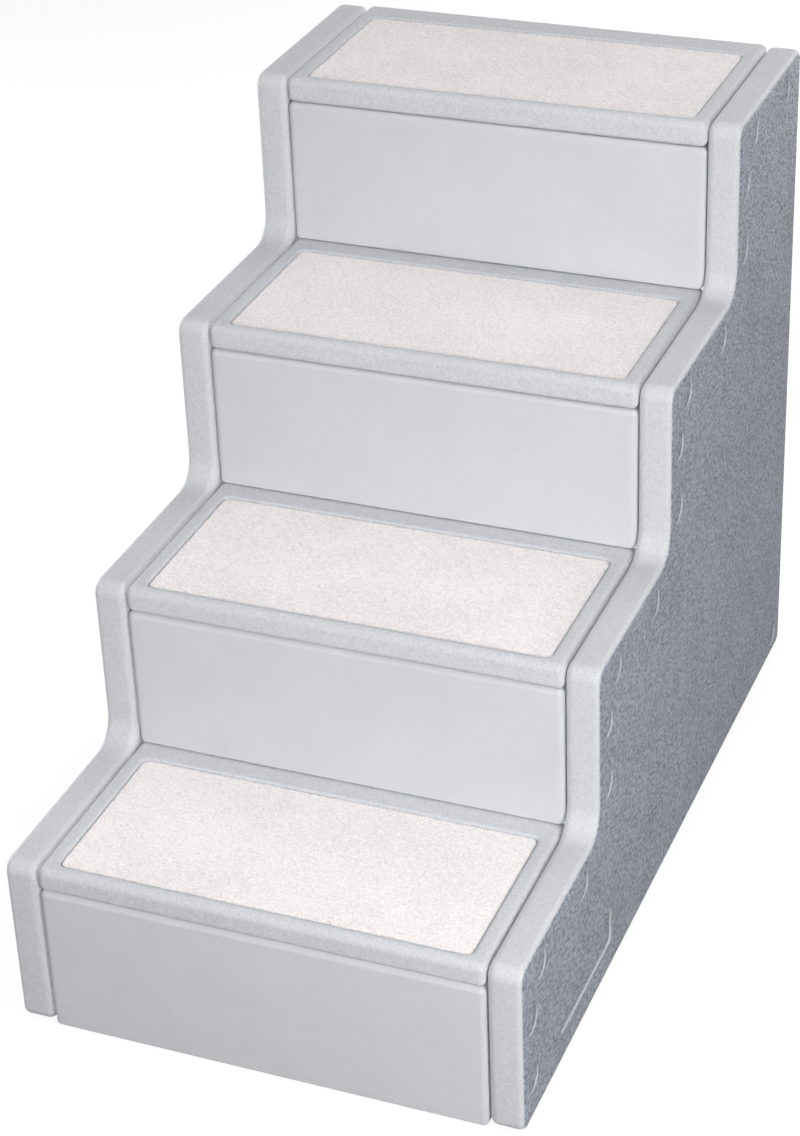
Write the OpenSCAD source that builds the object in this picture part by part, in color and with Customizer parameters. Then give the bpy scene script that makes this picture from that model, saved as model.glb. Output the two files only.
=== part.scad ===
/* [Staircase] */
// Height from one tread to the next
rise = 146; // [132:1:170]
// Height from the floor to the first tread
first_rise = 153; // [138:1:180]
// Depth from one nose to the next
run_d = 180; // [162:1:210]
// Clear width between the two side panels
inner_w = 365; // [300:1:440]
// Gap left at every seam between two mouldings
seam = 0.5; // [0.3:0.1:1]

/* [Side panels] */
// Thickness of a side panel
panel_t = 28; // [25:1:36]
// Distance by which the panels run on behind the last step
panel_rear = 10; // [6:0.5:20]
// Radius of the corner above each nose
nose_corner_r = 12; // [9:1:18]
// Radius of the corner at the foot of each riser
inner_corner_r = 22; // [12:1:28]
// Radius of the two bottom corners and the top rear corner
heel_r = 9; // [9:1:14]
// Rounding of the edge that faces the treads
inner_edge_r = 7; // [3:0.5:8]
// Rounding of the outer edge
outer_edge_r = 5; // [3:0.5:8]
// Diameter of the shallow round mark outside each socket
mark_d = 24; // [18:1:26]
// Depth of the shallow round marks
mark_depth = 1.1; // [0.5:0.1:1.5]

/* [Bare label field] */
// Length of the sunk field low on the outer face of a side panel
field_l = 126; // [60:1:160]
// Height of the field
field_h = 35; // [20:1:50]
// Radius of the field's corners
field_r = 6; // [3:0.5:10]
// Depth of the field
field_depth = 2; // [0.5:0.1:2.5]
// Distance of the field's middle behind the front of the panel
field_y = 148; // [100:1:160]
// Height of the field's middle above the floor
field_z = 45; // [35:1:60]

/* [Treads] */
// Height of the lip that covers the top edge of the riser
nose_h = 21; // [17:0.5:25]
// Rounding of the top front edge of the nose
nose_top_r = 7; // [4:0.5:10]
// Rounding of the lower front edge of the nose
nose_low_r = 5; // [3:0.5:6]
// Depth to which a tread runs on under the riser behind it
tread_lap = 8; // [4:0.5:10]
// Height of the hollow body behind the riser
tread_body_h = 33; // [30:1:44]
// Rounding of the ends of a tread
tread_end_r = 5.5; // [2:0.5:6]
// Height of the tread pegs' axis below the top of the tread
tread_peg_drop = 21; // [18:0.5:22]
// Distance of the front peg's axis behind the front of the hollow body
tread_peg_front = 11.5; // [11:0.5:20]
// Distance of the rear peg's axis in front of the next riser
tread_peg_rear = 39.5; // [25:0.5:50]

/* [Risers] */
// Thickness of a riser
riser_t = 30; // [26:1:36]
// Rounding of a riser's top edges
riser_top_r = 5; // [2:0.5:8]
// Rounding of a riser's bottom edges
riser_foot_r = 2.5; // [1.5:0.5:8]
// Rounding of the ends of risers and brace
end_r = 5; // [2:0.5:6]
// Distance of a riser's pegs in front of its back face
riser_peg_back = 9; // [9:0.5:12]
// Depth of the upper pegs below the riser's top edge
riser_peg_high = 36.5; // [20:0.5:42]
// Depth of the lower pegs below the riser's top edge
riser_peg_low = 92.5; // [80:0.5:96]

/* [Rear brace] */
// Thickness of the brace, front to back
brace_t = 30; // [26:1:34]
// Height of the brace
brace_h = 42; // [30:1:60]
// Rounding of the brace's long edges
brace_edge_r = 8; // [4:0.5:12]
// Distance of the brace's pegs from the back of the panels
brace_peg_y = 29; // [24:1:36]
// Height of the brace's pegs above the floor
brace_peg_z = 24; // [23:1:40]

/* [Snap pegs] */
// Diameter of a peg
peg_d = 16; // [12:0.5:16]
// Length of a peg beyond the end of its moulding
peg_l = 14; // [10:0.5:16]
// Height of the snap ring round a peg
snap_h = 0.6; // [0.3:0.1:0.8]
// Clearance of a socket round its peg
peg_fit = 0.2; // [0.1:0.05:0.4]

/* [Recesses and carpet mats] */
// Width of the rim beside the recess, at each side
rim_side = 10.5; // [9:0.5:30]
// Width of the rim in front of the recess
rim_front = 8; // [6:0.5:20]
// Width of the rim between the recess and the next riser
rim_rear = 15.5; // [9:0.5:30]
// Depth of the recess that holds a mat
recess_depth = 3.8; // [3.4:0.1:5]
// Radius of the recess's corners, seen from above
recess_r = 9; // [7:1:24]
// Rounding of the recess's edge, from the rim down to its wall
recess_edge_r = 3; // [1:0.5:3]
// Gap between a mat and the wall of its recess
mat_gap = 0.8; // [0.5:0.1:2]
// Thickness of a mat
mat_t = 2.2; // [1.6:0.1:4]

/* [Hook strips] */
// Length of a hook strip
strip_l = 110; // [60:1:130]
// Width of a hook strip
strip_w = 25; // [15:1:40]
// Thickness of a hook strip
strip_t = 1; // [0.6:0.1:1.5]
// Distance of the strips from the sides of the mat
strip_inset = 20; // [5:1:30]

/* [Floor grips] */
// Length of a rubber grip
grip_l = 60; // [30:1:90]
// Width of a rubber grip
grip_w = 12; // [8:1:12]
// Height by which a grip stands out of the panel
grip_proud = 1.2; // [0.8:0.1:2]
// Depth of the pocket that holds a grip
grip_pocket = 2.5; // [2:0.1:4]
// Distance of the end grips' middles from the front and the back of the panel
grip_inset = 70; // [60:1:110]

/* [Tack-offs] */
// Diameter of a tack-off at its mouth, where two walls are pinched together
tack_d = 24; // [16:1:26]
// Thickness of the moulded wall
wall = 2.5; // [2:0.1:3.5]
// Height of a panel's tack-offs above the floor and above the level of each tread
tack_up = 57; // [40:1:70]

/* [Hidden] */
step_count = 4;

$fn = 48;
// Number of straight pieces in a corner, and in a rounded edge
corner_steps = 8;
edge_steps = 4;
// How far a cutter runs past the surface that it opens
overrun = 1;

// Share of a corner's radius that is left where an end rounding would use it up
tight_share = 0.25;

stair_depth = step_count * run_d;
panel_depth = stair_depth + panel_rear;
front_y = -panel_depth / 2;
panel_x = inner_w / 2;
piece_w = inner_w - 2 * seam;

// Height of a tread's top above the floor, and the floor itself as level zero
function level(s) = s == 0 ? 0 : first_rise + (s - 1) * rise;

// Tread, from its front edge
tread_depth = run_d + tread_lap;
body_front = riser_t + seam;
body_rear_r = 8;
rear_top_r = 2.5;
lip_fillet_r = 3;

// Recess, from rim to rim, and the mat that lies in it
recess_w = piece_w - 2 * rim_side;
recess_d = run_d - rim_front - rim_rear;
recess_mid_y = rim_front + recess_d / 2;
recess_wall = recess_edge_r + mat_gap;
mat_w = recess_w - 2 * recess_wall;
mat_d = recess_d - 2 * recess_wall;
mat_r = recess_r - recess_wall;
mat_bottom = strip_t - recess_depth;
strip_pitch = mat_w - strip_l - 2 * strip_inset;

// A riser stands on the tread below it, and reaches up under the nose
function riser_base(s) = level(s - 1) + seam;
function riser_h(s) = level(s) - nose_h - seam - riser_base(s);

// Pegs and sockets
peg_r = peg_d / 2;
peg_root = 5;
peg_chamfer = 2;
snap_at = peg_l - 2 * peg_chamfer;
socket_spare = 1;

// Tack-offs: a row of shallow cones, evenly spaced along a moulding
tack_r = tack_d / 2;
tack_floor_share = 0.5;
tack_pitch = 66;
tread_tack_depth = tread_body_h - recess_depth - 2 * wall;
riser_tack_depth = riser_t - 2 * wall;
panel_tack_depth = panel_t - 2 * wall;
brace_tack_depth = brace_t - 2 * wall;

// Floor grips: studs hold each one, and grooves run across its sole
grip_stud_d = 6;
grip_stud_l = 7;
grip_stud_share = 0.3;
grip_fit = 0.2;
groove_w = 1.2;
groove_depth = 0.6;
groove_pitch = 6;
grip_pitch = (panel_depth - 2 * grip_inset) / 2;

grey = [0.80, 0.81, 0.83];
ivory = [0.93, 0.91, 0.89];
rubber_grey = [0.30, 0.31, 0.33];
hook_grey = [0.70, 0.71, 0.72];

function turned(v, a) = [v.x * cos(a) - v.y * sin(a), v.x * sin(a) + v.y * cos(a)];
function along(a, b) = (b - a) / norm(b - a);
function inward(a, b) = turned(along(a, b), 90);

// Points of one corner of an outline, drawn after the outline is moved inward by inset.
// A corner is [x, y, radius], and the outline runs anticlockwise. The radius shrinks with the inset.
function corner_arc(before, at, after, r, inset) =
    let (
        n0 = inward(before, at),
        n1 = inward(at, after),
        bend = atan2(cross(n0, n1), n0 * n1),
        side = bend < 0 ? -1 : 1,
        miter = (n0 + n1) / (1 + n0 * n1),
        radius = max(r - side * inset, r * tight_share),
        middle = at + miter * (inset + side * radius)
    )
    r == 0
        ? [at + miter * inset]
        : [for (k = [0:corner_steps]) middle - side * radius * turned(n0, bend * k / corner_steps)];

function place(c) = [c.x, c.y];

function outline(corners, inset = 0) =
    let (count = len(corners))
    [for (i = [0:count - 1], p = corner_arc(
        place(corners[(i + count - 1) % count]),
        place(corners[i]),
        place(corners[(i + 1) % count]),
        corners[i].z,
        inset)) p];

// Index of the first point of each corner in an outline
function first_points(corners, i = 0, at = 0) =
    i == len(corners)
        ? [at]
        : concat([at], first_points(corners, i + 1, at + (corners[i].z == 0 ? 1 : corner_steps + 1)));

// Index of a corner's first and last point in an outline
function arc_ends(corners, i) =
    let (first = first_points(corners))
    corners[i].z == 0 ? [first[i]] : [first[i], first[i + 1] - 1];

// A corner as a list that corner_arc and sharp_point take: the places before it, at it and after it
function around(corners, i) =
    let (count = len(corners))
    [place(corners[(i + count - 1) % count]), place(corners[i]), place(corners[(i + 1) % count])];

// Corners that turn inward, such as the foot of a riser
function hollow_corners(corners) = [
    for (i = [0:len(corners) - 1])
        let (near = around(corners, i))
        if (cross(inward(near[0], near[1]), inward(near[1], near[2])) < 0) i
];

// Place of a corner without its rounding, after the outline is moved inward by inset
function sharp_point(near, inset) =
    let (n0 = inward(near[0], near[1]), n1 = inward(near[1], near[2]))
    near[1] + (n0 + n1) / (1 + n0 * n1) * inset;

// Index of the sharp point of a hollow corner. These follow the points of the outline in a cap.
function sharp_index(corners, i) =
    first_points(corners)[len(corners)] + search(i, hollow_corners(corners))[0];

// Stations of a slab with two rounded edges, each [inset, height]
function soft_stations(t, low_r, high_r) = concat(
    [for (k = [0:edge_steps]) let (a = 90 * k / edge_steps)
        [low_r * (1 - sin(a)), low_r * (1 - cos(a))]],
    [for (k = [0:edge_steps]) let (a = 90 * k / edge_steps)
        [high_r * (1 - cos(a)), t - high_r * (1 - sin(a))]]
);

// A solid through one outline at several stations. In each cap, every round corner has a small
// face of its own, and cells fill the rest. A face starts at a point that sees the whole of it.
module loft(corners, stations, cells = undef) {
    rings = [for (s = stations) outline(corners, s[0])];
    count = len(rings[0]);
    last = len(stations) - 1;
    hollow = hollow_corners(corners);
    first = first_points(corners);
    points = concat(
        [for (j = [0:last], p = rings[j]) [p.x, p.y, stations[j][1]]],
        [for (j = [0, last], i = hollow)
            let (p = sharp_point(around(corners, i), stations[j][0])) [p.x, p.y, stations[j][1]]]
    );
    sides = [for (j = [0:last - 1], i = [0:count - 1])
        let (next = (i + 1) % count)
        [j * count + i, (j + 1) * count + i, (j + 1) * count + next, j * count + next]];
    round_faces = [for (i = [0:len(corners) - 1]) if (corners[i].z > 0) concat(
        search(i, hollow) == [] ? [] : [sharp_index(corners, i)],
        [for (k = [first[i]:first[i + 1] - 1]) k]
    )];
    whole = [for (i = [0:len(corners) - 1], k = arc_ends(corners, i)) k];
    caps = concat(round_faces, is_undef(cells) ? [whole] : cells);
    bottom = [for (f = caps) [for (k = f) k < count ? k : last * count + k]];
    top = [for (f = caps) [for (n = [0:len(f) - 1])
        let (k = f[n == 0 ? 0 : len(f) - n])
        last * count + k + (k < count ? 0 : len(hollow))]];
    polyhedron(points, concat(sides, bottom, top), convexity = 8);
}

function rectangle(w, d, r) = [
    [-w / 2, -d / 2, r],
    [w / 2, -d / 2, r],
    [w / 2, d / 2, r],
    [-w / 2, d / 2, r]
];

// Turns a profile drawn in (depth, height) so that its thickness runs along the width
module across_width() {
    rotate([90, 0, 90]) children();
}

// A snap peg along +Z, with a ring near its tip
module peg() {
    rotate_extrude() polygon([
        [0, -peg_root],
        [peg_r, -peg_root],
        [peg_r, snap_at - snap_h],
        [peg_r + snap_h, snap_at],
        [peg_r, snap_at + snap_h],
        [peg_r, peg_l - peg_chamfer],
        [peg_r - peg_chamfer, peg_l],
        [0, peg_l]
    ]);
}

// The socket of a peg: its mouth is at zero, and the seam lies between moulding and mouth
module socket() {
    r = peg_r + peg_fit;
    ring = snap_at - seam;
    rotate_extrude() polygon([
        [0, -overrun],
        [r, -overrun],
        [r, ring - snap_h - peg_fit],
        [r + snap_h, ring],
        [r, ring + snap_h + peg_fit],
        [r, peg_l + socket_spare],
        [0, peg_l + socket_spare]
    ]);
}

// One peg at each end of a moulding of width piece_w
module end_pegs() {
    for (side = [-1, 1])
        translate([side * piece_w / 2, 0, 0]) rotate([0, side * 90, 0]) peg();
}

// A tack-off along +Z: its mouth is at zero
module tack_off(depth) {
    slope = tack_r * (1 - tack_floor_share) / depth;
    translate([0, 0, -overrun])
        cylinder(h = depth + overrun, r1 = tack_r + slope * overrun, r2 = tack_r * tack_floor_share);
}

// Even places along the width of a moulding
function tack_places() =
    let (count = floor((piece_w - 2 * tack_d) / tack_pitch))
    [for (i = [0:count]) (i - count / 2) * tack_pitch];

// Axes of all pegs of one side: [distance behind the front, height above the floor]
function tread_pegs() = [body_front + tread_peg_front, run_d - tread_peg_rear];
function riser_pegs(s) = [riser_h(s) - riser_peg_low, riser_h(s) - riser_peg_high];
function peg_axes() = concat(
    [for (s = [1:step_count], y = tread_pegs()) [(s - 1) * run_d + y, level(s) - tread_peg_drop]],
    [for (s = [1:step_count], z = riser_pegs(s))
        [(s - 1) * run_d + riser_t - riser_peg_back, riser_base(s) + z]],
    [[panel_depth - brace_peg_y, brace_peg_z]]
);

// Stepped outline of a side panel, from the bottom front corner, with a point under each riser
function panel_corners() = concat(
    [[0, grip_proud, heel_r]],
    [for (s = [1:step_count - 1]) [s * run_d, grip_proud, 0]],
    [[panel_depth, grip_proud, heel_r], [panel_depth, level(step_count), heel_r]],
    [for (s = [step_count:-1:1], low = s > 1 ? [0, 1] : [0])
        [(s - 1) * run_d, level(s - low), low == 0 ? nose_corner_r : inner_corner_r]]
);

// The flat of a side panel, one cell for each step, between the feet of two risers
function panel_cells() =
    let (
        c = panel_corners(),
        nose = function (s) step_count + 2 + 2 * (step_count - s),
        foot = function (s) nose(s) + 1,
        rear = step_count
    )
    [for (s = [1:step_count]) concat(
        s == step_count
            ? concat(arc_ends(c, rear), arc_ends(c, rear + 1))
            : [arc_ends(c, s)[0], sharp_index(c, foot(s + 1)), arc_ends(c, foot(s + 1))[1]],
        arc_ends(c, nose(s)),
        s > 1
            ? [arc_ends(c, foot(s))[0], sharp_index(c, foot(s)), arc_ends(c, s - 1)[0]]
            : arc_ends(c, 0)
    )];

// Tack-offs inside a side panel, between the sockets: under the middle of each tread, and under each nose
function panel_tacks() = concat(
    [for (s = [1:step_count], k = [0:s - 1]) [(s - 0.5) * run_d, level(k) + tack_up]],
    [for (s = [2:step_count], k = [0:s - 2]) [(s - 1) * run_d, level(k) + tack_up]]
);

// Distances of the grips' middles behind the front
function grip_places() = [for (i = [0:2]) grip_inset + i * grip_pitch];

// The right side panel, with its inner face at the clear width and its outer face to +X
module side_panel() {
    difference() {
        translate([panel_x, front_y, 0]) across_width()
            loft(panel_corners(), soft_stations(panel_t, inner_edge_r, outer_edge_r), panel_cells());
        for (p = peg_axes())
            translate([panel_x, front_y + p.x, p.y]) rotate([0, 90, 0]) socket();
        for (p = peg_axes())
            translate([panel_x + panel_t - mark_depth, front_y + p.x, p.y]) rotate([0, 90, 0])
                cylinder(h = mark_depth + overrun, d = mark_d);
        translate([panel_x + panel_t - field_depth, front_y + field_y, field_z]) across_width()
            linear_extrude(field_depth + overrun) polygon(outline(rectangle(field_l, field_h, field_r)));
        for (p = panel_tacks())
            translate([panel_x, front_y + p.x, p.y]) rotate([0, 90, 0]) tack_off(panel_tack_depth);
        for (y = grip_places())
            translate([panel_x + panel_t / 2, front_y + y, grip_proud]) grip_hole();
    }
}

// Room for a grip and its studs, above the bottom of the panel
module grip_hole() {
    translate([0, 0, -overrun]) linear_extrude(grip_pocket + overrun)
        polygon(outline(rectangle(grip_w + 2 * grip_fit, grip_l + 2 * grip_fit, grip_w / 2)));
    for (side = [-1, 1])
        translate([0, side * grip_l * grip_stud_share, 0])
            cylinder(h = grip_pocket + grip_stud_l + overrun, d = grip_stud_d + 2 * grip_fit);
}

module left_side_panel() {
    color(grey) mirror([1, 0, 0]) side_panel();
}

module right_side_panel() {
    color(grey) side_panel();
}

// Section of a tread: a nose over the riser and a hollow body behind it
function tread_corners() = [
    [body_front, -tread_body_h, body_rear_r],
    [tread_depth, -tread_body_h, body_rear_r],
    [tread_depth, 0, rear_top_r],
    [0, 0, nose_top_r],
    [0, -nose_h, nose_low_r],
    [body_front, -nose_h, lip_fillet_r]
];

// The end face of a tread starts at the top rear corner, from which all of the section can be seen
function tread_cells() =
    let (c = tread_corners(), rear_top = arc_ends(c, 2), fillet = arc_ends(c, 5))
    [concat(
        [rear_top[1]],
        arc_ends(c, 3),
        arc_ends(c, 4),
        [fillet[0], sharp_index(c, 5), fillet[1]],
        arc_ends(c, 0),
        arc_ends(c, 1),
        [rear_top[0]]
    )];

// Stations of the recess: its floor, then up the rounded edge. The last slope runs on past the rim.
function recess_stations() =
    let (slope_a = 90 * (edge_steps - 1) / edge_steps)
    concat(
        [[recess_edge_r, -recess_depth]],
        [for (k = [0:edge_steps - 1]) let (a = 90 * k / edge_steps)
            recess_edge_r * [cos(a), sin(a) - 1]],
        [recess_edge_r * [-cos(slope_a), 1 - sin(slope_a)]]
    );

module tread(s) {
    color(grey) translate([0, front_y + (s - 1) * run_d, level(s)]) difference() {
        union() {
            translate([-piece_w / 2, 0, 0]) across_width()
                loft(tread_corners(), soft_stations(piece_w, tread_end_r, tread_end_r), tread_cells());
            for (y = tread_pegs())
                translate([0, y, -tread_peg_drop]) end_pegs();
        }
        translate([0, recess_mid_y, 0]) loft(rectangle(recess_w, recess_d, recess_r), recess_stations());
        for (x = tack_places(), y = [body_front + tack_d, run_d - tack_d])
            translate([x, y, -tread_body_h]) tack_off(tread_tack_depth);
    }
}

// Section of a riser. The upper ones stand on the rear rim of the tread below.
function riser_corners(h) = [
    [0, 0, riser_foot_r],
    [riser_t, 0, riser_foot_r],
    [riser_t, h, riser_top_r],
    [0, h, riser_top_r]
];

module riser(s) {
    color(grey) translate([0, front_y + (s - 1) * run_d, riser_base(s)]) difference() {
        union() {
            translate([-piece_w / 2, 0, 0]) across_width()
                loft(riser_corners(riser_h(s)), soft_stations(piece_w, end_r, end_r));
            for (z = riser_pegs(s))
                translate([0, riser_t - riser_peg_back, z]) end_pegs();
        }
        for (x = tack_places(), z = riser_pegs(s))
            translate([x, riser_t, z]) rotate([90, 0, 0]) tack_off(riser_tack_depth);
    }
}

module rear_brace() {
    color(grey) translate([0, -front_y - brace_peg_y, brace_peg_z]) difference() {
        union() {
            translate([-piece_w / 2, 0, 0]) across_width()
                loft(rectangle(brace_t, brace_h, brace_edge_r), soft_stations(piece_w, end_r, end_r));
            end_pegs();
        }
        for (x = tack_places())
            translate([x, -brace_t / 2, 0]) rotate([-90, 0, 0]) tack_off(brace_tack_depth);
    }
}

// Two strips lie side by side in the recess, under each mat
module hook_strips(s) {
    color(hook_grey) translate([0, front_y + (s - 1) * run_d + recess_mid_y, level(s) - recess_depth])
        for (side = [-1, 1])
            translate([side * strip_pitch / 2, 0, 0])
                linear_extrude(strip_t) square([strip_l, strip_w], center = true);
}

module carpet_mat(s) {
    color(ivory) translate([0, front_y + (s - 1) * run_d + recess_mid_y, level(s) + mat_bottom])
        linear_extrude(mat_t) polygon(outline(rectangle(mat_w, mat_d, mat_r)));
}

// A grip stands on the floor: its sole is at zero
module floor_grip() {
    difference() {
        union() {
            linear_extrude(grip_proud + grip_pocket)
                polygon(outline(rectangle(grip_w, grip_l, grip_w / 2 - grip_fit)));
            for (side = [-1, 1])
                translate([0, side * grip_l * grip_stud_share, 0])
                    cylinder(h = grip_proud + grip_pocket + grip_stud_l, d = grip_stud_d);
        }
        for (i = [-floor(grip_l / groove_pitch / 2) + 1:floor(grip_l / groove_pitch / 2) - 1])
            translate([-grip_w, i * groove_pitch - groove_w / 2, -overrun])
                cube([2 * grip_w, groove_w, groove_depth + overrun]);
    }
}

module floor_grips() {
    color(rubber_grey) for (y = grip_places())
        translate([panel_x + panel_t / 2, front_y + y, 0]) floor_grip();
}

module left_floor_grips() {
    mirror([1, 0, 0]) floor_grips();
}

module right_floor_grips() {
    floor_grips();
}

left_side_panel();
right_side_panel();
rear_brace();
left_floor_grips();
right_floor_grips();
for (s = [1:step_count]) {
    tread(s);
    riser(s);
    hook_strips(s);
    carpet_mat(s);
}
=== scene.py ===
# %% [markdown]
# Four-step pet stairs, blow-moulded in light grey plastic, with an ivory carpet mat in every
# tread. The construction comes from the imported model, at its real size and place. This script
# gives every surface its finish, makes the soft mats, and sets up a small photo studio.
# The lengths are metres: x runs across the stairs, y from the front to the back, z upwards.

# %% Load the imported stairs
import math

import bmesh
import bpy
import numpy as np
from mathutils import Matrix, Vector


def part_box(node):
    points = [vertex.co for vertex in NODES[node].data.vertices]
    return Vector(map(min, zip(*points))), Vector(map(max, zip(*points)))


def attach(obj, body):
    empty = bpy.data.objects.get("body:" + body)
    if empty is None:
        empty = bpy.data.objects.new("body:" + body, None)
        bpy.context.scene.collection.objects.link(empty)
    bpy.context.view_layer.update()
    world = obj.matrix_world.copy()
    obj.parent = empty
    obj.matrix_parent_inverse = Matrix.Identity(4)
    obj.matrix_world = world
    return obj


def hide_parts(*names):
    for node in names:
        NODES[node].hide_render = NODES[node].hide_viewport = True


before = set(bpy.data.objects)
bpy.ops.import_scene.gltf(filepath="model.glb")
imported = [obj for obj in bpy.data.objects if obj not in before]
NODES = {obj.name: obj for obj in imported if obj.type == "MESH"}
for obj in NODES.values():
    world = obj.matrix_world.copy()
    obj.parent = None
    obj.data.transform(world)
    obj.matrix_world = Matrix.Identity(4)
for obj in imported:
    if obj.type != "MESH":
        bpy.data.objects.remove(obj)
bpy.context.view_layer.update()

STEPS = range(1, 5)
MM = 0.001

# %% [markdown]
# The photographer stood to the right of the stairs and looked down on them through a long lens.
# A camera like that can be found by hand, by turning it until the edges fall in place, or worked
# out from edges whose sizes are known. The second way was used here: place, turn and focal
# length fit about a hundred places along the edges to about a pixel, with no shift of the lens.

# %% Camera
PICTURE_W = 800
PICTURE_H = 1136
SENSOR = 36.0
FOCAL_PIXELS = 2780.0

camera_data = bpy.data.cameras.new("camera")
camera_data.sensor_width = SENSOR
camera_data.lens = FOCAL_PIXELS / max(PICTURE_W, PICTURE_H) * SENSOR
camera = bpy.data.objects.new("camera", camera_data)
camera.location = (0.7454, -1.8321, 1.4235)
camera.rotation_euler = [math.radians(a) for a in (59.255, 2.071, 21.539)]
bpy.context.scene.collection.objects.link(camera)
bpy.context.scene.camera = camera
print("lens, mm:", round(camera_data.lens, 1))

# %% [markdown]
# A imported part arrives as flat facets, each with its own corners. A moulding has soft roundings
# instead, so light should slide over them. Three things give that without moving a corner: the
# facets are joined where they meet, edges sharper than a chosen angle stay crisp, and the
# normals lean towards the largest faces, which keeps flat faces flat beside their roundings.
# The alternative, more subdivisions, would change the size of the part.

# %% Soft shading for the mouldings
CRISP_ANGLE = math.radians(40)
JOIN_DISTANCE = 0.002 * MM
LARGE_FACE_WEIGHT = 90


def soft_shading_nodes():
    """Node group that joins facets, smooths them and keeps sharp edges crisp."""
    group = bpy.data.node_groups.new("soft_shading", "GeometryNodeTree")
    for way in ("INPUT", "OUTPUT"):
        group.interface.new_socket("Geometry", in_out=way, socket_type="NodeSocketGeometry")
    add = group.nodes.new
    link = group.links.new
    start, end = add("NodeGroupInput"), add("NodeGroupOutput")
    plain = add("GeometryNodeRemoveAttribute")
    plain.inputs["Name"].default_value = "custom_normal"
    join = add("GeometryNodeMergeByDistance")
    join.inputs["Distance"].default_value = JOIN_DISTANCE
    smooth = add("GeometryNodeSetShadeSmooth")
    crisp = add("GeometryNodeSetShadeSmooth")
    crisp.domain = "EDGE"
    crisp.inputs["Shade Smooth"].default_value = False
    angle = add("GeometryNodeInputMeshEdgeAngle")
    test = add("FunctionNodeCompare")
    test.inputs["B"].default_value = CRISP_ANGLE
    link(start.outputs["Geometry"], plain.inputs["Geometry"])
    link(plain.outputs["Geometry"], join.inputs["Geometry"])
    link(join.outputs["Geometry"], smooth.inputs["Geometry"])
    link(smooth.outputs["Geometry"], crisp.inputs["Geometry"])
    link(angle.outputs["Unsigned Angle"], test.inputs["A"])
    link(test.outputs["Result"], crisp.inputs["Selection"])
    link(crisp.outputs["Geometry"], end.inputs["Geometry"])
    return group


SOFT_SHADING = soft_shading_nodes()


def shade_softly(piece):
    """Soft roundings and flat flats, by modifiers alone."""
    piece.modifiers.new("soft_shading", "NODES").node_group = SOFT_SHADING
    lean = piece.modifiers.new("flat_faces_stay_flat", "WEIGHTED_NORMAL")
    lean.keep_sharp = True
    lean.weight = LARGE_FACE_WEIGHT


for node in NODES.values():
    shade_softly(node)
print("softly shaded:", len(NODES), "nodes")

# %% [markdown]
# Materials are small node trees. Two helpers keep them short to read: one adds a node and fills
# its sockets by name, the other starts a material and hands back its shader. Every pattern is
# laid out in the piece's own space, in metres, so that it sits still on the piece from any side.

# %% Helpers for materials
def put(tree, kind, settings=None, **values):
    """Adds a node. settings are its properties, values its input sockets; a socket is linked."""
    node = tree.nodes.new(kind)
    for name, value in (settings or {}).items():
        setattr(node, name, value)
    for name, value in values.items():
        socket = node.inputs[name.replace("_", " ")]
        if isinstance(value, bpy.types.NodeSocket):
            tree.links.new(value, socket)
        else:
            socket.default_value = value
    return node


def start_material(name):
    """A material with an empty tree but for its shader, and the space that its patterns use."""
    material = bpy.data.materials.new(name)
    material.use_nodes = True
    tree = material.node_tree
    shader = tree.nodes["Principled BSDF"]
    space = put(tree, "ShaderNodeTexCoord")
    return material, tree, shader, space


def blend(tree, share, low, high, colours=False):
    """Mixes two colours, or two numbers, by a share from 0 to 1. Each may be a value or a socket."""
    node = tree.nodes.new("ShaderNodeMix")
    node.data_type = "RGBA" if colours or isinstance(low, tuple) else "FLOAT"
    slots = [s for s in node.inputs if s.enabled]
    for slot, value in zip(slots, (share, low, high)):
        if isinstance(value, bpy.types.NodeSocket):
            tree.links.new(value, slot)
        else:
            slot.default_value = value
    return next(s for s in node.outputs if s.enabled)


def add_up(tree, *terms):
    """Sum of several (socket, factor) pairs."""
    total = None
    for socket, factor in terms:
        part = put(tree, "ShaderNodeMath", {"operation": "MULTIPLY"})
        tree.links.new(socket, part.inputs[0])
        part.inputs[1].default_value = factor
        if total is None:
            total = part.outputs[0]
            continue
        more = put(tree, "ShaderNodeMath", {"operation": "ADD"})
        tree.links.new(total, more.inputs[0])
        tree.links.new(part.outputs[0], more.inputs[1])
        total = more.outputs[0]
    return total


def linear(red, green, blue):
    """A colour as a screen shows it, from 0 to 255, in the light's own scale."""
    shares = [c / 255 for c in (red, green, blue)]
    light = [c / 12.92 if c <= 0.04045 else ((c + 0.055) / 1.055) ** 2.4 for c in shares]
    return (*light, 1.0)


print("helpers for materials are ready; a middle grey of 128 is", round(linear(128, 128, 128)[0], 3))

# %% [markdown]
# The moulds of the side panels and treads are etched, so the plastic comes out with a leather
# grain. On the fronts and tops it is fine and hardly shows where light falls straight on. The outer
# faces of the panels have a slightly coarser, longer grain, and their colour is painted darker,
# bluer and mottled: painted shade, as that side lies in shade. Real bumps of this size would need
# millions of facets, so the grain is a bump pattern made of noises, and its valleys have a darker
# colour, which is painted shade. The risers come from a smooth mould. Shallow waves and faint
# clouds of another tone come from the blowing of the hollow wall.

# %% Patterns of the moulded plastic
WRINKLE_SIZE = 2.0 * MM
SAND_SIZE = 1.1 * MM
FLANK_WRINKLE_SIZE = 2.1 * MM
FLANK_STRETCH = 0.45
CLOUD_SIZE = 60 * MM
TWIST = 0.5
SAND_IN_FINE = 0.3
SAND_IN_COARSE = 0.2
TONE_RAMP = (0.25, 0.75)
FACES_FORWARD = 0.75
FACES_SIDEWAYS = 0.97


def ramp(tree, value, low, high):
    """Smooth share from 0 at low to 1 at high."""
    node = put(tree, "ShaderNodeMapRange", {"interpolation_type": "SMOOTHSTEP"}, Value=value)
    node.inputs["From Min"].default_value = low
    node.inputs["From Max"].default_value = high
    return node.outputs["Result"]


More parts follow.
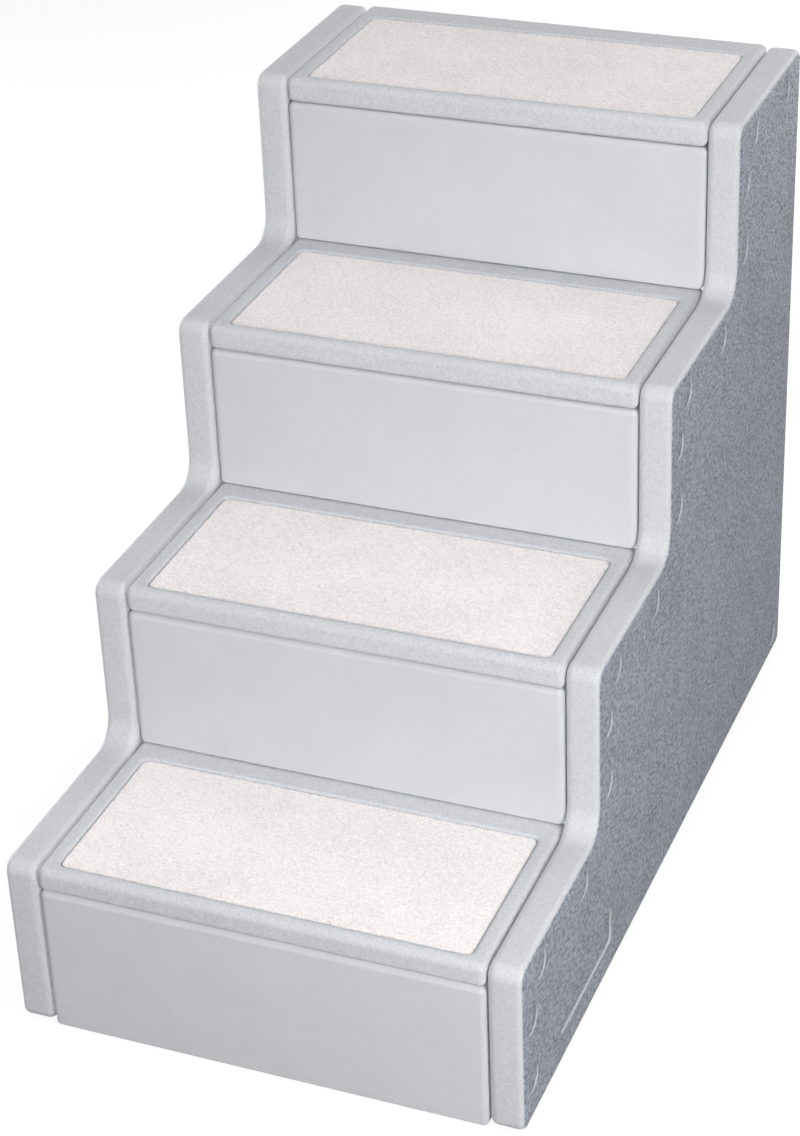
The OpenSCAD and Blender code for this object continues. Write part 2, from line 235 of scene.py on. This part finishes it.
def noise(tree, where, size, detail=1.0, roughness=0.6, twist=0.0):
    """A noise whose lumps are about half a size across."""
    node = put(tree, "ShaderNodeTexNoise", Vector=where, Scale=1 / size, Detail=detail)
    node.inputs["Roughness"].default_value = roughness
    node.inputs["Distortion"].default_value = twist
    return node.outputs["Fac"]


def flank_share(tree, space):
    """1 on the faces that look away from the middle of the stairs, 0 on all others."""
    facing = put(tree, "ShaderNodeSeparateXYZ", Vector=space.outputs["Normal"])
    place = put(tree, "ShaderNodeSeparateXYZ", Vector=space.outputs["Object"])
    side = put(tree, "ShaderNodeMath", {"operation": "SIGN"})
    tree.links.new(place.outputs["X"], side.inputs[0])
    outwards = put(tree, "ShaderNodeMath", {"operation": "MULTIPLY"})
    tree.links.new(facing.outputs["X"], outwards.inputs[0])
    tree.links.new(side.outputs[0], outwards.inputs[1])
    return ramp(tree, outwards.outputs[0], FACES_FORWARD, FACES_SIDEWAYS)


print("grain of the fronts and of the outer faces, mm:", WRINKLE_SIZE / MM, FLANK_WRINKLE_SIZE / MM)

# %% [markdown]
# One function makes all three plastics. It builds a fine and a coarse grain, each with its own
# depth and colours, and picks between them by the way that a face looks: a normal that points away
# from the middle of the stairs belongs to an outer face. The colours of the outer faces are painted
# darker and bluer, as painted shade. A material for each side would need the mesh cut in parts,
# while the normal does it without touching the imported part.

# %% Moulded plastic
PLASTIC_IOR = 1.46
PLASTIC_GLOSS = 0.2
ROUGH_VALLEY = 0.60
SMOOTH_TOP = 0.40


def moulded_plastic(name, front, flank, wave_depth):
    """Grey plastic with a leather grain. front and flank each hold the light and the dark colour,
    the depth of the grain in metres, and the share of the colour that follows the grain; the dark
    colour in the valleys is painted shade."""
    material, tree, shader, space = start_material(name)
    here = space.outputs["Object"]
    longer = put(tree, "ShaderNodeMapping", Vector=here, Scale=(1, FLANK_STRETCH, 1))
    sand = noise(tree, here, SAND_SIZE)
    clouds = noise(tree, here, CLOUD_SIZE, detail=5.0, roughness=0.65)
    fine_wrinkles = noise(tree, here, WRINKLE_SIZE, twist=TWIST)
    fine = add_up(tree, (fine_wrinkles, 1 - SAND_IN_FINE), (sand, SAND_IN_FINE))
    coarse_wrinkles = noise(tree, longer.outputs["Vector"], FLANK_WRINKLE_SIZE, twist=TWIST)
    coarse = add_up(tree, (coarse_wrinkles, 1 - SAND_IN_COARSE), (sand, SAND_IN_COARSE))

    heights, colours = [], []
    for grain, (light, dark, depth, shade) in ((fine, front), (coarse, flank)):
        heights.append(add_up(tree, (grain, depth)))
        # The valleys of the grain take the dark colour: painted shade.
        tone = add_up(tree, (clouds, 1 - shade), (grain, shade))
        colours.append(blend(tree, ramp(tree, tone, *TONE_RAMP), dark, light))
    sideways = flank_share(tree, space)
    bump = put(tree, "ShaderNodeBump", Height=blend(tree, sideways, *heights))
    bump.inputs["Distance"].default_value = 1.0
    waves = put(tree, "ShaderNodeBump", Height=clouds, Normal=bump.outputs["Normal"])
    waves.inputs["Distance"].default_value = wave_depth
    tree.links.new(waves.outputs["Normal"], shader.inputs["Normal"])

    # The outer faces take their darker, bluer colours here, which are painted shade.
    tree.links.new(blend(tree, sideways, *colours, colours=True), shader.inputs["Base Color"])
    tree.links.new(blend(tree, fine, ROUGH_VALLEY, SMOOTH_TOP), shader.inputs["Roughness"])
    shader.inputs["IOR"].default_value = PLASTIC_IOR
    shader.inputs["Specular IOR Level"].default_value = PLASTIC_GLOSS
    return material


# The dark colour of each finish is painted shade in the valleys of its grain.
PANEL_FRONT = (linear(221, 223, 229), linear(204, 206, 212), 0.35 * MM, 0.9)
# The outer faces are painted darker and bluer than the fronts: painted shade of a side that lies in
# shade.
PANEL_FLANK_PAINTED_SHADE = (linear(191, 199, 214), linear(92, 98, 110), 1.5 * MM, 0.85)
TREAD_FACE = (linear(222, 225, 230), linear(200, 203, 208), 0.3 * MM, 0.85)
RISER_FACE = (linear(217, 220, 225), linear(210, 213, 218), 0.03 * MM, 0.4)
PANEL_PLASTIC = moulded_plastic("panel_plastic", PANEL_FRONT, PANEL_FLANK_PAINTED_SHADE, wave_depth=1.2 * MM)
TREAD_PLASTIC = moulded_plastic("tread_plastic", TREAD_FACE, TREAD_FACE, wave_depth=0.8 * MM)
RISER_PLASTIC = moulded_plastic("riser_plastic", RISER_FACE, RISER_FACE, wave_depth=0.8 * MM)
for name, node in NODES.items():
    if name.endswith("side_panel"):
        node.data.materials[0] = PANEL_PLASTIC
    elif name.startswith("riser"):
        node.data.materials[0] = RISER_PLASTIC
    elif name.startswith(("tread", "rear_brace")):
        node.data.materials[0] = TREAD_PLASTIC
print("plastics:", PANEL_PLASTIC.name, TREAD_PLASTIC.name, RISER_PLASTIC.name)

# %% [markdown]
# Under the panels sit dark rubber grips, and in the recesses hook strips that hold the mats.
# Both are small, but they show from below and when a mat is lifted. Rubber is matt and slightly
# dusty; a hook strip is a sheet of tiny nylon hooks in rows.

# %% Rubber grips
BLOOM_PER_METRE = 60.0
RUBBER_SPECKS_PER_METRE = 900.0
RUBBER_SPECK_DEPTH = 0.08 * MM
RUBBER_DARK = linear(66, 68, 72)
RUBBER_LIGHT = linear(92, 94, 98)


def rubber(name):
    """Matt grey rubber with a fine bloom."""
    material, tree, shader, space = start_material(name)
    here = space.outputs["Object"]
    bloom = put(tree, "ShaderNodeTexNoise", Vector=here, Scale=BLOOM_PER_METRE, Detail=5.0, Roughness=0.7)
    specks = put(tree, "ShaderNodeTexNoise", Vector=here, Scale=RUBBER_SPECKS_PER_METRE, Detail=2.0)
    bump = put(tree, "ShaderNodeBump", Height=specks.outputs["Fac"])
    bump.inputs["Distance"].default_value = RUBBER_SPECK_DEPTH
    tree.links.new(bump.outputs["Normal"], shader.inputs["Normal"])
    colour = blend(tree, bloom.outputs["Fac"], RUBBER_DARK, RUBBER_LIGHT)
    tree.links.new(colour, shader.inputs["Base Color"])
    tree.links.new(blend(tree, bloom.outputs["Fac"], 0.7, 0.9), shader.inputs["Roughness"])
    return material


RUBBER = rubber("grip_rubber")
for side in ("left", "right"):
    NODES[f"{side}_floor_grips"].data.materials[0] = RUBBER
print("rubber on the grips of both panels")

# %% Hook strips
HOOK_ROWS_PER_METRE = 250.0
HOOK_TONE_PER_METRE = 120.0
HOOK_DEPTH = 0.1 * MM
NYLON_DARK = linear(168, 170, 172)
NYLON_LIGHT = linear(196, 198, 200)


def nylon(name):
    """Satin nylon, woven in fine rows."""
    material, tree, shader, space = start_material(name)
    here = space.outputs["Object"]
    rows = put(tree, "ShaderNodeTexWave", Vector=here, Scale=HOOK_ROWS_PER_METRE, Distortion=1.0)
    tone = put(tree, "ShaderNodeTexNoise", Vector=here, Scale=HOOK_TONE_PER_METRE, Detail=3.0)
    bump = put(tree, "ShaderNodeBump", Height=rows.outputs["Fac"])
    bump.inputs["Distance"].default_value = HOOK_DEPTH
    tree.links.new(bump.outputs["Normal"], shader.inputs["Normal"])
    colour = blend(tree, tone.outputs["Fac"], NYLON_DARK, NYLON_LIGHT)
    tree.links.new(colour, shader.inputs["Base Color"])
    tree.links.new(blend(tree, rows.outputs["Fac"], 0.4, 0.6), shader.inputs["Roughness"])
    return material


HOOK_NYLON = nylon("hook_nylon")
for s in STEPS:
    NODES[f"hook_strips_{s}"].data.materials[0] = HOOK_NYLON
print("hook nylon in the recesses of", len(STEPS), "treads")

# %% [markdown]
# The mats are cut from ivory carpet: a thin backing with a dense, short cut pile. The yarn is matt
# and catches light at a low angle, which a little sheen gives. Between its tufts it holds a soft
# shade. At this size that is a pattern of specks, some lighter and some darker, with faint clouds.

# %% Carpet material
YARN_BUMP_DEPTH = 0.3 * MM
YARN_BUMP_STRENGTH = 0.6
YARN_RAMP = (0.25, 0.65)
YARN_ROUGHNESS = 0.95
YARN_GLOSS = 0.2
YARN_SHEEN = 0.45
YARN_SHEEN_SPREAD = 0.5


def carpet(name, light, dark, speck_size):
    """Ivory yarn: matt, with a soft sheen and fine specks of light and shade."""
    material, tree, shader, space = start_material(name)
    here = space.outputs["Object"]
    specks = noise(tree, here, speck_size, detail=2.0, twist=1.0)
    clouds = noise(tree, here, CLOUD_SIZE, detail=3.0)
    tone = ramp(tree, add_up(tree, (specks, 0.8), (clouds, 0.2)), *YARN_RAMP)
    bump = put(tree, "ShaderNodeBump", Height=specks)
    bump.inputs["Distance"].default_value = YARN_BUMP_DEPTH
    bump.inputs["Strength"].default_value = YARN_BUMP_STRENGTH
    tree.links.new(bump.outputs["Normal"], shader.inputs["Normal"])
    tree.links.new(blend(tree, tone, dark, light), shader.inputs["Base Color"])
    shader.inputs["Roughness"].default_value = YARN_ROUGHNESS
    shader.inputs["Specular IOR Level"].default_value = YARN_GLOSS
    shader.inputs["Sheen Weight"].default_value = YARN_SHEEN
    shader.inputs["Sheen Roughness"].default_value = YARN_SHEEN_SPREAD
    return material


CARPET = carpet("carpet_yarn", linear(254, 251, 251), linear(227, 223, 223), 2.3 * MM)
print("carpet:", CARPET.name)

# %% [markdown]
# A pile could be hair particles, thousands of modelled strands, or only a bump. Here the mat is a
# closed sheet with a rounded, slightly uneven edge, and short tufts stand on it, leaning in patches
# as trodden pile does. The tufts follow the rounded edge, which gives the mat its soft rim. They
# are plain spikes, so a whole mat takes a fraction of a second, and they export as a mesh.

# %% Outline of a mat
MAT_CORNER = 5.2 * MM
MAT_GRID = 2.0 * MM
EDGE_ROUND = 1.5 * MM


def edge_drop(inside):
    """How far the top of a mat lies lower near its edge, by the distance inside it."""
    near = np.clip(EDGE_ROUND - inside, 0, EDGE_ROUND)
    return EDGE_ROUND - np.sqrt(EDGE_ROUND ** 2 - near ** 2)


def inside_distance(x, y, half_w, half_d, radius):
    """How far a point lies inside an outline with round corners, less than zero outside."""
    over_x = np.maximum(np.abs(x) - (half_w - radius), 0)
    over_y = np.maximum(np.abs(y) - (half_d - radius), 0)
    near = np.minimum(half_w - np.abs(x), half_d - np.abs(y))
    in_corner = (over_x > 0) & (over_y > 0)
    return np.where(in_corner, radius - np.hypot(over_x, over_y), near)


def mat_outline(half_w, half_d, radius, step):
    """Points round a mat, evenly spaced, anticlockwise."""
    points = []
    turn = max(4, round(math.pi / 2 * radius / step))
    for cx, cy, begin in ((1, 1, 0), (-1, 1, 90), (-1, -1, 180), (1, -1, 270)):
        for k in range(turn + 1):
            a = math.radians(begin + 90 * k / turn)
            x = cx * (half_w - radius) + radius * math.cos(a)
            y = cy * (half_d - radius) + radius * math.sin(a)
            points.append((x, y))
    full = []
    for i, (x0, y0) in enumerate(points):
        x1, y1 = points[(i + 1) % len(points)]
        pieces = max(1, round(math.hypot(x1 - x0, y1 - y0) / step))
        full += [(x0 + (x1 - x0) * k / pieces, y0 + (y1 - y0) * k / pieces) for k in range(pieces)]
    return full


print("1 mm inside its edge, the top of a mat lies lower by, mm:", round(float(edge_drop(MM)) / MM, 2))

# %% [markdown]
# The sheet is a stack of rings of points, each joined to the next: from the underside out to the
# edge, and round onto the top. Its outline wobbles by about a tenth of a millimetre, as a cut edge
# does. The numbers for that come from a fixed start, so every run makes the same mats.

# %% Sheet of a mat
MAT_WOBBLE = 0.08 * MM
PILE_HEIGHT = 0.8 * MM
EDGE_FOOT = EDGE_ROUND * 0.3
EDGE_STEPS = 4


def make_mat(s):
    """The sheet of one mat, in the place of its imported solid, and what its tufts need to know."""
    low, high = (np.array(v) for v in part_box(f"carpet_mat_{s}"))
    middle = (low + high) / 2
    half_w, half_d = (high - low)[:2] / 2
    rng = np.random.default_rng(40 + s)
    top = high[2] - PILE_HEIGHT
    mesh = bmesh.new()
    outline = mat_outline(half_w, half_d, MAT_CORNER, MAT_GRID)
    wobble = rng.normal(0, MAT_WOBBLE, len(outline))
    levels = [(EDGE_FOOT, low[2]), (0, low[2] + EDGE_FOOT)]
    for k in range(EDGE_STEPS + 1):
        inset = EDGE_ROUND * (1 - math.cos(math.pi / 2 * k / EDGE_STEPS))
        levels.append((inset, top - edge_drop(inset)))
    rings = []
    for inset, z in levels:
        ring = []
        for (x, y), w in zip(outline, wobble):
            shrink_x = 1 - (inset + w) / half_w
            shrink_y = 1 - (inset + w) / half_d
            ring.append(mesh.verts.new((middle[0] + x * shrink_x, middle[1] + y * shrink_y, z)))
        rings.append(ring)
    count = len(outline)
    for a, b in zip(rings, rings[1:]):
        for i in range(count):
            mesh.faces.new((a[i], a[(i + 1) % count], b[(i + 1) % count], b[i]))
    mesh.faces.new(list(reversed(rings[0])))
    mesh.faces.new(rings[-1])
    data = bpy.data.meshes.new(f"carpet_sheet_{s}")
    mesh.to_mesh(data)
    mesh.free()
    piece = bpy.data.objects.new(f"carpet_sheet_{s}", data)
    bpy.context.scene.collection.objects.link(piece)
    data.materials.append(CARPET)
    return piece, middle, half_w, half_d, top, rng


print("a sheet ends", PILE_HEIGHT / MM, "mm below the top of the packed mat")

# %% [markdown]
# The tufts stand in rows, each moved a little by chance, and none stands outside the outline. The
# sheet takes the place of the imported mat, and both pieces ride on the body of that mat, so they
# rise with it.

# %% Tufts, and the mats in their places
TUFT_PITCH = 1.35 * MM
TUFT_MARGIN = 0.4 * MM
TUFT_ROOT = 0.05 * MM
TUFT_LEAN = (0.1, 0.6)
TUFT_HEIGHT = (0.75, 1.0)
TUFT_RADIUS = (0.5, 0.7)
TUFT_STRAY = 0.9


def make_tufts(s, middle, half_w, half_d, top, rng):
    """Short cut tufts, each a slim leaning spike with three sides."""
    across = np.arange(-half_w, half_w, TUFT_PITCH)
    deep = np.arange(-half_d, half_d, TUFT_PITCH)
    x, y = (v.ravel() for v in np.meshgrid(across, deep))
    x = x + rng.uniform(-0.5, 0.5, x.size) * TUFT_PITCH
    y = y + rng.uniform(-0.5, 0.5, y.size) * TUFT_PITCH
    inside = inside_distance(x, y, half_w, half_d, MAT_CORNER)
    keep = inside > TUFT_MARGIN
    x, y, inside = x[keep], y[keep], inside[keep]
    n = x.size
    # The lean turns slowly along two crossing waves, so it changes in patches some centimetres wide.
    patches = 6 * np.sin(17 * x + 3 * s) + 5 * np.cos(23 * y + 11 * x)
    lean_way = patches + rng.normal(0, TUFT_STRAY, n)
    lean = rng.uniform(*TUFT_LEAN, n) * PILE_HEIGHT
    height = rng.uniform(*TUFT_HEIGHT, n) * PILE_HEIGHT
    radius = rng.uniform(*TUFT_RADIUS, n) * TUFT_PITCH
    turn = rng.uniform(0, 2 * math.pi, n)
    corners = []
    for k in range(3):
        a = turn + k * 2 * math.pi / 3
        corners.append(np.stack([x + radius * np.cos(a), y + radius * np.sin(a), np.zeros(n)], 1))
    corners.append(np.stack([x + lean * np.cos(lean_way), y + lean * np.sin(lean_way), height], 1))
    points = np.stack(corners, 1)
    points[:, :, 2] -= edge_drop(inside)[:, None]
    points = points.reshape(-1, 3) + np.array([middle[0], middle[1], top - TUFT_ROOT])
    base = 4 * np.arange(n)[:, None]
    faces = np.concatenate([base + np.array(f) for f in ((0, 1, 3), (1, 2, 3), (2, 0, 3))])
    data = bpy.data.meshes.new(f"carpet_tufts_{s}")
    data.from_pydata(points.tolist(), [], faces.tolist())
    piece = bpy.data.objects.new(f"carpet_tufts_{s}", data)
    bpy.context.scene.collection.objects.link(piece)
    data.materials.append(CARPET)
    return piece, n


for s in STEPS:
    sheet, middle, half_w, half_d, top, rng = make_mat(s)
    tufts, count = make_tufts(s, middle, half_w, half_d, top, rng)
    for piece in (sheet, tufts):
        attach(piece, f"mat_{s}")
    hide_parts(f"carpet_mat_{s}")
    print(f"mat {s}: {2 * half_w / MM:.0f} by {2 * half_d / MM:.0f} mm, {count} tufts")

# %% [markdown]
# The studio is plain: a pale floor that runs out of sight and soft light. The camera sees the
# floor brightened almost to white, as a cut-out shop picture has it, while the light that the
# floor throws back on the stairs stays that of a grey floor. A soft shadow stays on it.

# %% Floor
FLOOR_RADIUS = 40.0
FLOOR_SIDES = 96
FLOOR_GREY = 0.2
FLOOR_GLOW = 0.86


def make_floor():
    """A round floor that keeps the shadow and looks nearly white to the camera."""
    bpy.ops.mesh.primitive_circle_add(
        vertices=FLOOR_SIDES, radius=FLOOR_RADIUS, fill_type="NGON", location=(0, 0, 0)
    )
    floor = bpy.context.object
    floor.name = "studio_floor"
    material = bpy.data.materials.new("studio_floor")
    material.use_nodes = True
    tree = material.node_tree
    tree.nodes.clear()
    out = put(tree, "ShaderNodeOutputMaterial")
    grey = put(tree, "ShaderNodeBsdfDiffuse", Color=(FLOOR_GREY, FLOOR_GREY, FLOOR_GREY, 1))
    glow = put(tree, "ShaderNodeEmission", Color=(1, 1, 1, 1))
    path = put(tree, "ShaderNodeLightPath")
    seen = add_up(
        tree,
        (path.outputs["Is Camera Ray"], FLOOR_GLOW),
        (path.outputs["Is Glossy Ray"], FLOOR_GLOW),
        (path.outputs["Is Transmission Ray"], FLOOR_GLOW),
    )
    tree.links.new(seen, glow.inputs["Strength"])
    both = put(tree, "ShaderNodeAddShader")
    tree.links.new(grey.outputs[0], both.inputs[0])
    tree.links.new(glow.outputs[0], both.inputs[1])
    tree.links.new(both.outputs[0], out.inputs["Surface"])
    floor.data.materials.append(material)


make_floor()
print("floor, metres across:", 2 * FLOOR_RADIUS)

# %% [markdown]
# Five soft lamps and a faint, slightly blue sky light what the camera sees. Two round lanterns hang
# on the right, one low and one high, so the fronts grow lighter towards them and the outer face of
# the right panel catches them at a glancing angle, which shows its grain. Wide soft boxes lie in
# front, on the left and above. The strengths of these five were worked out from the colours of many
# places of known direction, so that a colour renders about as written. Two more, low and wide,
# light the back and the left side for views from there.

# %% Lamps
MIDDLE = Vector((0, 0, 0.3))


def aim_at(lamp, spot):
    """Turns a lamp towards a spot."""
    lamp.rotation_euler = (spot - lamp.location).to_track_quat("-Z", "Y").to_euler()


def add_lamp(name, kind, place, size, power, colour):
    """A soft lamp of a given size that the camera doesn't see."""
    data = bpy.data.lights.new(name, kind)
    if kind == "AREA":
        data.shape = "DISK"
        data.size = size
    else:
        data.shadow_soft_size = size / 2
    data.energy = power
    data.color = colour
    lamp = bpy.data.objects.new(name, data)
    lamp.location = place
    lamp.visible_camera = False
    bpy.context.scene.collection.objects.link(lamp)
    aim_at(lamp, MIDDLE)


WARM_WHITE = (1.0, 0.98, 0.945)
# Each lamp has a name, a kind, a place, a width in metres and a power in watts.
LAMPS = [
    ("low_lantern", "POINT", (1.1, -0.9, 0.5), 0.30, 26.0),
    ("high_lantern", "POINT", (1.0, -0.3, 1.5), 0.30, 20.0),
    ("front_soft_box", "AREA", (0.3, -2.4, 1.3), 1.0, 30.0),
    ("left_soft_box", "AREA", (-1.2, -0.8, 1.6), 1.0, 4.0),
    ("top_soft_box", "AREA", (0.1, 0.7, 2.1), 1.0, 7.5),
    ("back_soft_box", "AREA", (0.4, 2.4, 0.5), 1.2, 32.0),
    ("left_flank_soft_box", "AREA", (-2.2, 0.6, 0.4), 1.2, 30.0),
]
for name, kind, place, size, power in LAMPS:
    add_lamp(name, kind, Vector(place), size, power, WARM_WHITE)
print("lamps:", len(LAMPS), "with", sum(lamp[-1] for lamp in LAMPS), "W in all")

# %% [markdown]
# The sky gives an even, weak light from all round, which fills the shadows. To the camera and in
# reflections it is plain white instead. A picture of a real studio would light more richly, but
# this needs no file, and the colours stay easy to reckon.

# %% Sky
SKY_STRENGTH = 0.13
SKY_COLOUR = (0.86, 0.90, 1.05, 1)


def make_sky():
    """Even light from all round, and a white backdrop for the camera and for reflections."""
    world = bpy.data.worlds.new("studio")
    bpy.context.scene.world = world
    world.use_nodes = True
    tree = world.node_tree
    tree.nodes.clear()
    out = put(tree, "ShaderNodeOutputWorld")
    even = put(tree, "ShaderNodeBackground", Color=SKY_COLOUR, Strength=SKY_STRENGTH)
    white = put(tree, "ShaderNodeBackground", Color=(1, 1, 1, 1), Strength=1.0)
    path = put(tree, "ShaderNodeLightPath")
    seen = add_up(
        tree,
        (path.outputs["Is Camera Ray"], 1.0),
        (path.outputs["Is Glossy Ray"], 1.0),
        (path.outputs["Is Transmission Ray"], 1.0),
    )
    mix = put(tree, "ShaderNodeMixShader")
    tree.links.new(seen, mix.inputs["Fac"])
    tree.links.new(even.outputs[0], mix.inputs[1])
    tree.links.new(white.outputs[0], mix.inputs[2])
    tree.links.new(mix.outputs[0], out.inputs["Surface"])


make_sky()
bpy.context.scene.view_settings.view_transform = "Standard"
print("sky strength:", SKY_STRENGTH)
